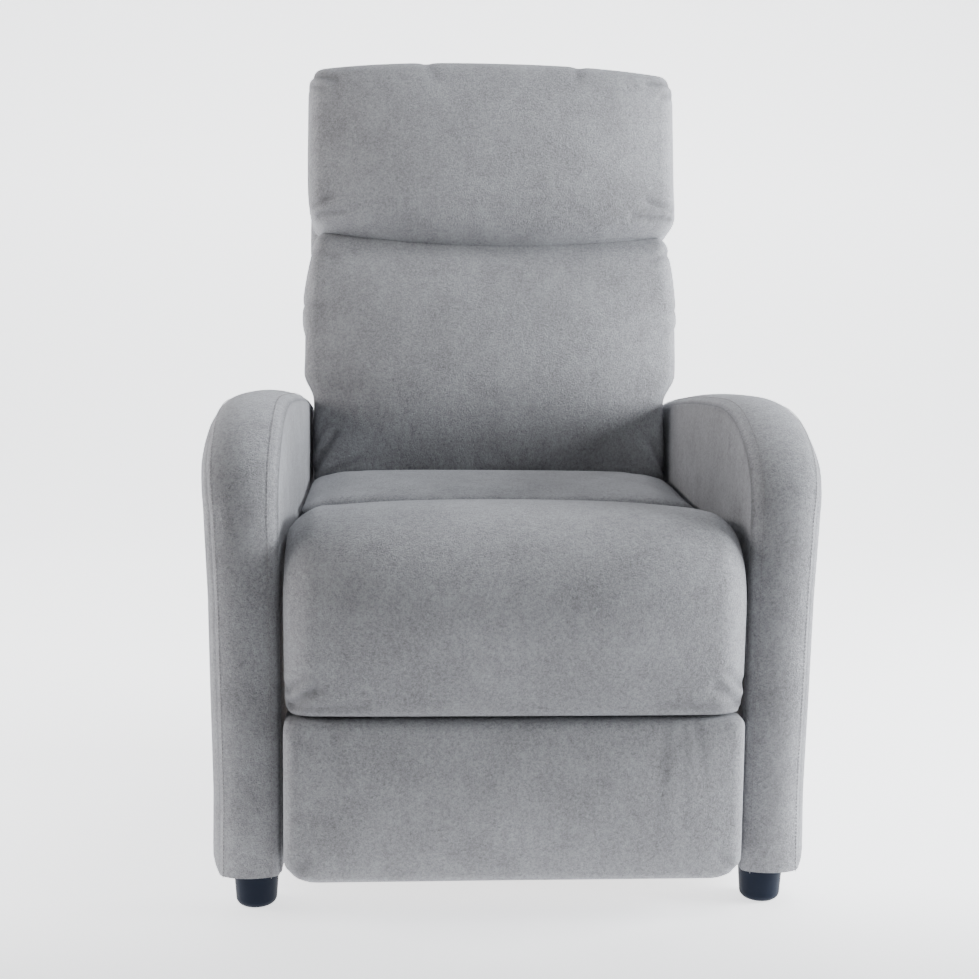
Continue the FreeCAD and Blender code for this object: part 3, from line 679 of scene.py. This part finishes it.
seat_folds = [
    ((-0.2, 0.1), (-0.12, 0.04), 0.002, 0.01),
    ((0.21, 0.1), (0.14, 0.03), 0.002, 0.01),
]
pad(
    "seat_pad", (seat_size[0], seat_size[1] - SEAT_TUCK, seat_size[2]),
    radii=(0.018, 0.014, 0.014), crown=0.006,
    place=lambda p: seat_place(p - [0, SEAT_TUCK / 2, 0]),
    body="seat", replaced=["seat_cushion"],
    folds=seat_folds, seams=(0.1,), shape=seat_shape, most=0.007,
)

CORNER = 0.104  # The radius of the roll over the front edge.
ROLL_BELLY = 0.022
ROLL_SIDE_FALL = 0.010
front_thick = front_high[2] - front_low[2]
top_z = front_high[2]
face_y = rest_low[1]
top_run = front_high[1] - (face_y + CORNER)
drop_run = (top_z - CORNER) - rest_low[2]
arc_run = CORNER * math.pi / 2
front_length = top_run + arc_run + drop_run


def roll_place(p):
    """along runs from the rear seam over the front edge and down to the leg rest's hem."""
    s = front_length / 2 - p[:, 1]
    out = p[:, 2] - front_thick / 2
    turn = np.clip((s - top_run) / CORNER, 0, math.pi / 2)
    y = front_high[1] - np.minimum(s, top_run) - (CORNER + out) * np.sin(turn)
    z = (top_z - CORNER) + (CORNER + out) * np.cos(turn)
    z -= np.maximum(s - top_run - arc_run, 0)
    return np.column_stack([p[:, 0], y, z])


def roll_shape(local, across, along, out):
    """The face bulges in front, and falls away towards its rear seam and its sides."""
    p = local.copy()
    front = smoothstep(-0.5, 1.0, out)
    belly = np.exp(-(((along + 0.40) / 0.38) ** 2))
    p[:, 2] += ROLL_BELLY * front * belly * (1 - np.abs(across) ** 4)
    p[:, 2] -= front * (0.012 * smoothstep(0.1, 1.0, along) + 0.006 * smoothstep(-0.3, 0.3, along))
    p[:, 2] -= front * 0.006 * smoothstep(0.80, 1.0, along)
    p[:, 0] *= 1 - 0.004 * smoothstep(-0.4, -1.0, along)
    p[:, 2] -= ROLL_SIDE_FALL * front * smoothstep(0.12, 0.0, 1 - np.abs(across))
    return p


half_roll = front_length / 2
roll_folds = [
    ((-0.258, -half_roll + 0.012), (-0.225, -half_roll + 0.035), 0.006, 0.006),
    ((-0.259, -half_roll + 0.030), (-0.236, -half_roll + 0.050), 0.004, 0.005),
    ((0.258, -half_roll + 0.012), (0.225, -half_roll + 0.036), 0.006, 0.006),
    ((0.259, -half_roll + 0.034), (0.235, -half_roll + 0.055), 0.004, 0.005),
    ((0.259, -half_roll + 0.010), (0.16, -half_roll + 0.016), 0.003, 0.006),
    ((-0.259, -half_roll + 0.010), (-0.17, -half_roll + 0.015), 0.003, 0.006),
]
front_pad = pad(
    "front_pad", (2 * rest_high[0], front_length, front_thick),
    radii=(0.017, 0.009, 0.020), crown=0.010, place=roll_place,
    body="seat", replaced=["seat_front_cushion", "front_cushion_roll", "leg_rest_pad"],
    folds=roll_folds, seams=(-0.35,), shape=roll_shape, rides=False, calm=90, square=True,
)
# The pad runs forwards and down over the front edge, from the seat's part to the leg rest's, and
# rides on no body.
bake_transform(front_pad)


def foot_place(p):
    """across, along (up) and out (forwards)."""
    middle = (foot_low + foot_high) / 2
    return np.column_stack([p[:, 0], middle[1] - p[:, 2], middle[2] + p[:, 1]])


def foot_shape(local, across, along, out):
    """The lower corners are drawn in."""
    p = local.copy()
    corner = smoothstep(0.86, 1.0, np.abs(across)) * smoothstep(0.75, 1.0, -along)
    p[:, 0] -= np.sign(across) * 0.008 * corner
    p[:, 1] += 0.006 * corner
    return p


foot_folds = [
    ((0.168, 0.086), (0.156, -0.04), 0.0009, 0.008),
    ((0.186, 0.080), (0.190, -0.02), 0.0008, 0.007),
    ((0.202, 0.086), (0.214, 0.02), 0.0009, 0.007),
    ((0.255, -0.085), (0.232, -0.062), 0.0028, 0.005),
    ((-0.255, -0.085), (-0.232, -0.062), 0.0028, 0.005),
    ((-0.255, 0.085), (-0.232, 0.066), 0.0020, 0.005),
    ((-0.205, 0.086), (-0.2, 0.03), 0.0008, 0.008),
]
foot_size = foot_high - foot_low
pad(
    "foot_pad", (foot_size[0], foot_size[2] + 0.003, foot_size[1]),
    radii=(0.014, 0.008, 0.016), crown=0.012, place=foot_place,
    body="footrest", replaced=["footrest_pad"],
    folds=foot_folds, seams=(-0.35,), shape=foot_shape, most=0.009, pressure=3.0, square=True,
)

# --- Arms ------------------------------------------------------------------------------------

ARM_NOSE = (0.205, 0.122)  # How far back and how far down the rounded front reaches.
NOSE_FLATNESS = 0.95
ARM_FALL = 0.024
ARM_ROUND = 0.040
# How far each line lies inside the arm's top, front and rear.
SEAM_IN = (0.011, 0.004, 0.006)
SEAM_OUT = (0.020, 0.007, 0.008)
CROWN = (-0.001, -0.009, -0.004)
# How far the band's two seams lie in from the arm's inner and outer faces.
SEAM_INNER = 0.0034
SEAM_OUTER = 0.0075
RING_POINTS = 260
WAVER = 0.0016  # How unevenly the cloth lies over the foam.
arm_floor = arm_low[2]
arm_width = arm_high[0] - arm_low[0]
band_width = arm_width - SEAM_INNER - SEAM_OUTER


def arm_edge(pulls):
    """The arm's side view outline, open at the bottom: front foot, over the top, rear foot.
    pulls is how far it lies inside the arm's top, front and rear."""
    pull_top, pull_front, pull_rear = pulls
    front = arm_low[1] + pull_front
    rear = arm_high[1] - pull_rear
    top = arm_high[2] - pull_top
    start = front + ARM_NOSE[0] - pull_front
    end = rear - ARM_ROUND
    drop = ARM_NOSE[1] - pull_top
    path = [(front, arm_floor)]
    for a in np.linspace(0, math.pi / 2, 60):
        path.append((
            front + (start - front) * (1 - math.cos(a) ** NOSE_FLATNESS),
            top - drop + drop * math.sin(a) ** NOSE_FLATNESS,
        ))
    for t in np.linspace(0, 1, 40)[1:]:
        path.append((start + (end - start) * t, top - ARM_FALL * t * t))
    for a in np.linspace(0, math.pi / 2, 24)[1:]:
        path.append((
            end + ARM_ROUND * math.sin(a), top - ARM_FALL - ARM_ROUND * (1 - math.cos(a)),
        ))
    path.append((rear, arm_floor))
    path = np.array(path)
    run = np.concatenate([[0], np.cumsum(np.linalg.norm(np.diff(path, axis=0), axis=1))])
    even = np.linspace(0, run[-1], RING_POINTS)
    return np.column_stack([np.interp(even, run, path[:, 0]), np.interp(even, run, path[:, 1])])


inner_edge = arm_edge(SEAM_IN)
outer_edge = arm_edge(SEAM_OUT)
crown_edge = arm_edge(CROWN)


def band_ring(t, lift=0.0):
    """The band's outline at a share t of the way from the inner seam to the outer one."""
    low = inner_edge + (outer_edge - inner_edge) * t
    return low + (crown_edge - low) * ((4 * t * (1 - t)) ** 0.6 + lift)


def panel_ring(edge, inward):
    """A side panel's ring at a share of the way in from its seam to the panel's middle."""
    middle = np.column_stack([
        np.clip(edge[:, 0], arm_low[1] + 0.21, arm_high[1] - 0.20),
        np.clip(edge[:, 1], 0.26, 0.34),
    ])
    return edge + (middle - edge) * inward


# The outer panel's rings lie closest beside its seam, where it swells out.
OUTER_PANEL_SHARES = (
    0.013, 0.022, 0.04, 0.08, 0.13, 0.19, 0.26, 0.34, 0.43, 0.52, 0.62, 0.72, 0.82, 0.91, 1.0,
)


def arm_rings():
    """Rings across the arm, from the inner panel's middle to the outer one's: (x from the arm's
    inner face, outline, how much painted shade a seam puts on it)."""
    outer_seam = arm_width - SEAM_OUTER
    rings = []
    for s in np.linspace(1.0, 0.0, 26)[:-1]:
        rings.append((0.0022 * (1 - s) ** 6, panel_ring(inner_edge, s), 0.0))
    # The rings at the seams carry painted shade.
    rings.append((0.0014, panel_ring(inner_edge, 0.012), 0.25))
    rings.append((0.0026, panel_ring(inner_edge, 0.007), 0.8))
    rings.append((SEAM_INNER, inner_edge, 0.5))
    for t in np.linspace(0.03, 0.97, 24):
        rings.append((SEAM_INNER + band_width * t, band_ring(t), 0.0))
    rings.append((outer_seam, outer_edge, 0.25))
    rings.append((outer_seam + 0.0004, panel_ring(outer_edge, 0.006), 0.5))
    for s in OUTER_PANEL_SHARES:
        swell = 1 - (1 - min(1, s / 0.16)) ** 2.6
        rings.append((outer_seam + (SEAM_OUTER + 0.004) * swell, panel_ring(outer_edge, s), 0.0))
    return rings


def wavering(y, z):
    """The cloth's slight unevenness over the foam, between -1.4 and 1.4."""
    return math.sin(9.1 * y + 1.3) * math.sin(7.7 * z + 0.4) + 0.4 * math.sin(23 * y + 11 * z)


# How far the arm's outer side stands out at each height above the floor.
LEAN_HEIGHTS = (0.04, 0.13, 0.24, 0.36, 0.46, 0.51, 0.56, 0.60)
LEAN_OUT = (-0.003, -0.0045, -0.003, -0.002, 0.002, 0.008, 0.010, 0.009)


def arm_x(side, x, y, z, steady=0.0):
    """The place across the chair of a point x out from the arm's inner face. The arm is fuller at
    the top and drawn in towards its foot. steady is how much of the cloth's waver a seam stops."""
    share = min(1, max(0, (x - SEAM_INNER) / band_width))
    full = float(np.interp(z, LEAN_HEIGHTS, LEAN_OUT)) * share ** 1.5
    return side * (arm_low[0] + x + full + WAVER * wavering(y, z) * (1 - steady))


def arm_piece(side, name):
    rings = arm_rings()
    count = len(inner_edge)
    points, seam = [], []
    for x, ring, dark in rings:
        for y, z in ring:
            points.append((arm_x(side, x, y, z, dark), y, z))
        # The painted shade along the seams, for the cloth.
        seam += [dark] * count
    quads = []
    for first in range(0, (len(rings) - 1) * count, count):
        for a in range(first, first + count - 1):
            quads.append([a, a + 1, a + 1 + count, a + count])
        # The hem under the arm closes each ring from its front foot to its rear foot.
        last = first + count - 1
        quads.append([first + count, last + count, last, first])
    # A face in the middle of each panel closes the arm.
    end = (len(rings) - 1) * count
    quads.append(list(range(count))[::-1])
    quads.append(list(range(end, end + count)))
    if side > 0:
        quads = [q[::-1] for q in quads]
    piece = mesh_piece(name, points, quads)
    point_value(piece, "seam", seam)
    return piece


def band_line(side, t):
    """A line round the band, just proud of the cloth."""
    line = band_ring(t, 0.05)
    x = [arm_x(side, SEAM_INNER + band_width * t, y, z) for y, z in line]
    return np.column_stack([x, line])


# --- Sewing ----------------------------------------------------------------------------------

STITCH_PITCH = 0.0045
STITCH_LENGTH = 0.0034
THREAD_WIDTH = 0.0009
STITCH_LINES = (0.13, 0.93)  # How far across the band each line runs.
PANEL_EDGE = math.radians(62)


def stitch_tree():
    """Short raised stitches, evenly spaced along every line of the mesh it is given."""
    tree = bpy.data.node_groups.new("stitches", "GeometryNodeTree")
    for way in ("INPUT", "OUTPUT"):
        tree.interface.new_socket("Line", in_out=way, socket_type="NodeSocketGeometry")
    sizes = {"Pitch": STITCH_PITCH, "Stitch": STITCH_LENGTH, "Thread": THREAD_WIDTH}
    for name, value in sizes.items():
        socket = tree.interface.new_socket(name, in_out="INPUT", socket_type="NodeSocketFloat")
        socket.default_value = value
    tree.interface.new_socket("Finish", in_out="INPUT", socket_type="NodeSocketMaterial")
    given = tree.nodes.new("NodeGroupInput")

    def add(kind, settings=None, **links):
        node = tree.nodes.new("GeometryNode" + kind)
        for key, value in (settings or {}).items():
            setattr(node, key, value)
        for key, value in links.items():
            socket = node.inputs[key.replace("_", " ")]
            if isinstance(value, bpy.types.NodeSocket):
                tree.links.new(value, socket)
            else:
                socket.default_value = value
        return node.outputs[0]

    curve = add("MeshToCurve", Mesh=given.outputs["Line"])
    even = add("ResampleCurve", {"mode": "LENGTH"}, Curve=curve, Length=given.outputs["Pitch"])
    bead = add("MeshUVSphere", Segments=6, Rings=4, Radius=0.5)
    turn = tree.nodes.new("FunctionNodeAlignRotationToVector")
    turn.axis = "Z"
    tree.links.new(add("InputTangent"), turn.inputs["Vector"])
    scale = tree.nodes.new("ShaderNodeCombineXYZ")
    tree.links.new(given.outputs["Thread"], scale.inputs[0])
    tree.links.new(given.outputs["Thread"], scale.inputs[1])
    tree.links.new(given.outputs["Stitch"], scale.inputs[2])
    laid = add(
        "InstanceOnPoints", Points=even, Instance=bead,
        Rotation=turn.outputs[0], Scale=scale.outputs[0],
    )
    solid = add("RealizeInstances", Geometry=laid)
    sewn = add("SetMaterial", Geometry=solid, Material=given.outputs["Finish"])
    tree.links.new(sewn, tree.nodes.new("NodeGroupOutput").inputs[0])
    return tree


stitches = stitch_tree()


def sew(name, body, lines):
    """Lines of stitches as one piece of plain mesh on one body."""
    mesh = bpy.data.meshes.new(name)
    points, edges = [], []
    for line in lines:
        first = len(points)
        points += [tuple(p) for p in line]
        edges += [(first + i, first + i + 1) for i in range(len(line) - 1)]
    mesh.from_pydata(points, edges, [])
    piece = bpy.data.objects.new(name, mesh)
    bpy.context.scene.collection.objects.link(piece)
    modifier = piece.modifiers.new("stitches", "NODES")
    modifier.node_group = stitches
    values = {"Pitch": STITCH_PITCH, "Finish": sewing_thread}
    for item in stitches.interface.items_tree:
        if item.in_out == "INPUT" and item.name in values:
            modifier[item.identifier] = values[item.name]
    baked(piece)
    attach(piece, body)


for side, word in ((1, "left"), (-1, "right")):
    arm = arm_piece(side, word + "_arm_upholstery")
    arm.data.set_sharp_from_angle(angle=PANEL_EDGE)
    finish_pad(arm, "base", [word + "_arm_cover"])
    sew(word + "_arm_stitches", "base", [band_line(side, t) for t in STITCH_LINES])

# --- Outer back and rear skirt ---------------------------------------------------------------

low_u, high_u, face_off, rear_off, half_x = back_reach("back_cover")
NECK = 0.012  # How much narrower each side of the back is below the head.
NECK_SPARE = 1.2  # The outer back narrows by this many times that, for room beside the arms.


def shell_shape(local, across, along, out):
    """The outer back is narrower below the head, where it passes between the arms."""
    p = local.copy()
    narrow = smoothstep(0.30, 0.02, along)
    p[:, 0] *= 1 - NECK / half_x * NECK_SPARE * narrow
    return p


def behind_back(middle_up, middle_off):
    """Sets a pad's points on the back, facing rearwards."""
    def place(p):
        sideways = -p[:, :1] * [1, 0, 0]
        return sideways + (p[:, 1:2] + middle_up) * up_back - (p[:, 2:3] - middle_off) * off_back
    return place


back_folds = [
    ((-0.2, 0.31), (-0.15, 0.2), 0.0015, 0.01),
    ((0.22, -0.3), (0.17, -0.22), 0.0015, 0.01),
]
pad(
    "outer_back", (2 * half_x, high_u - low_u, face_off - rear_off),
    radii=(0.020, 0.020, 0.020), crown=0.007,
    place=behind_back((low_u + high_u) / 2, (face_off + rear_off) / 2),
    body="back", replaced=["back_cover"],
    folds=back_folds, seams=(0.28,), shape=shell_shape,
    most=0.005, pressure=1.5, sewn=0.9,
)

skirt_low, skirt_high = span("rear_skirt")
skirt_size = skirt_high - skirt_low


def skirt_place(p):
    """across, along (up) and out (rearwards)."""
    middle = (skirt_low + skirt_high) / 2
    return np.column_stack([-p[:, 0], middle[1] + p[:, 2], middle[2] + p[:, 1]])


pad(
    "rear_skirt_cover", (skirt_size[0], skirt_size[2], skirt_size[1]),
    radii=(0.006, 0.006, 0.006), crown=0.003, place=skirt_place,
    body="base", replaced=["rear_skirt"],
    seams=(-0.2,), most=0.002, pressure=1.0, sewn=0.9,
)

# --- Camera, light and floor -----------------------------------------------------------------

# The camera's place, its turns in degrees and its lens in millimetres.
EYE = Vector((-0.129, -1.962, 0.654))
YAW, PITCH, ROLL = (math.radians(a) for a in (3.49, 5.97, 0.65))
LENS = 52.62


def put_camera():
    level = math.cos(PITCH)
    ahead = Vector((math.sin(YAW) * level, math.cos(YAW) * level, -math.sin(PITCH)))
    right = Vector((math.cos(YAW), -math.sin(YAW), 0))
    up = right.cross(ahead)
    across = math.cos(ROLL) * right + math.sin(ROLL) * up
    above = -math.sin(ROLL) * right + math.cos(ROLL) * up
    lens = bpy.data.cameras.new("camera")
    lens.lens, lens.sensor_width, lens.clip_end = LENS, 36.0, 100.0
    camera = bpy.data.objects.new("camera", lens)
    rows = [[across[i], above[i], -ahead[i], EYE[i]] for i in range(3)]
    camera.matrix_world = Matrix(rows + [[0, 0, 0, 1]])
    bpy.context.scene.collection.objects.link(camera)
    bpy.context.scene.camera = camera


def softbox(name, place, aim, size, power, tint=(1, 1, 1)):
    light = bpy.data.lights.new(name, "AREA")
    light.shape, light.size, light.size_y = "RECTANGLE", size[0], size[1]
    light.energy, light.color = power, tint
    box = bpy.data.objects.new(name, light)
    box.location = place
    box.rotation_euler = (Vector(aim) - Vector(place)).to_track_quat("-Z", "Y").to_euler()
    bpy.context.scene.collection.objects.link(box)


FLOOR_REAR = 2.2
FLOOR_CURVE = 1.2


def put_floor():
    """A pale floor that runs up into a pale wall in one soft curve. The wall and the floor under
    and behind the chair glow, painted light that also lights the chair, and the floor is darker
    well in front of the chair."""
    profile = [(-6.0, 0.0), (FLOOR_REAR, 0.0)]
    for a in np.linspace(0.1, math.pi / 2, 12):
        profile.append((
            FLOOR_REAR + math.sin(a) * FLOOR_CURVE, FLOOR_CURVE - math.cos(a) * FLOOR_CURVE,
        ))
    profile.append((3.4, 6.0))
    points = [(x, y, z) for y, z in profile for x in (-7.0, 7.0)]
    quads = [[2 * i, 2 * i + 1, 2 * i + 3, 2 * i + 2] for i in range(len(profile) - 1)]
    f = Finish("pale_floor", Specular_IOR_Level=0.2, Emission_Strength=1.9)
    spread = f.noise(f.place(), 1.5, 3.0)
    back = f.add("ShaderNodeSeparateXYZ", None, {"Vector": f.place()}, output=1)
    # Painted light: the glow is full from under the chair back to the wall, and fades out in front
    # of it.
    glow = f.steps((back * 0.5 + 0.7).clamped(), (0.34, 0.0), (0.54, 1.0))
    f.link(f.mix(glow, (0.03, 0.03, 0.031), (0.97, 0.98, 1.0)), "Emission Color")
    near = f.steps((back * 0.5 + 0.7).clamped(), (0.26, 0.0), (0.40, 1.0))
    paper = f.mix(spread, (0.83, 0.83, 0.84), (0.86, 0.86, 0.865))
    f.link(f.mix(near, (0.62, 0.62, 0.625), paper), "Base Color")
    f.link(0.7 + spread * 0.1, "Roughness")
    mesh_piece("floor", points, quads, f.material)


def light_scene():
    world = bpy.data.worlds.new("air")
    world.use_nodes = True
    sky = world.node_tree.nodes["Background"]
    sky.inputs["Color"].default_value = (0.94, 0.96, 1.0, 1)
    sky.inputs["Strength"].default_value = 0.08
    bpy.context.scene.world = world
    softbox("key", (3.0, -0.40, 1.15), (0, -0.1, 0.5), (1.7, 1.6), 275, (0.955, 0.98, 1.0))
    softbox("front", (-0.4, -3.6, 1.9), (0, 0, 0.5), (2.4, 1.6), 1.5, (1.0, 0.98, 0.965))
    softbox("top", (0.9, -0.1, 3.2), (0, 0, 0.4), (1.6, 1.4), 50, (0.95, 0.975, 1.0))
    softbox("side", (-3.0, 0.0, 1.3), (0.2, -0.1, 0.5), (1.4, 1.4), 90, (1.0, 0.97, 0.95))


put_camera()
light_scene()
put_floor()
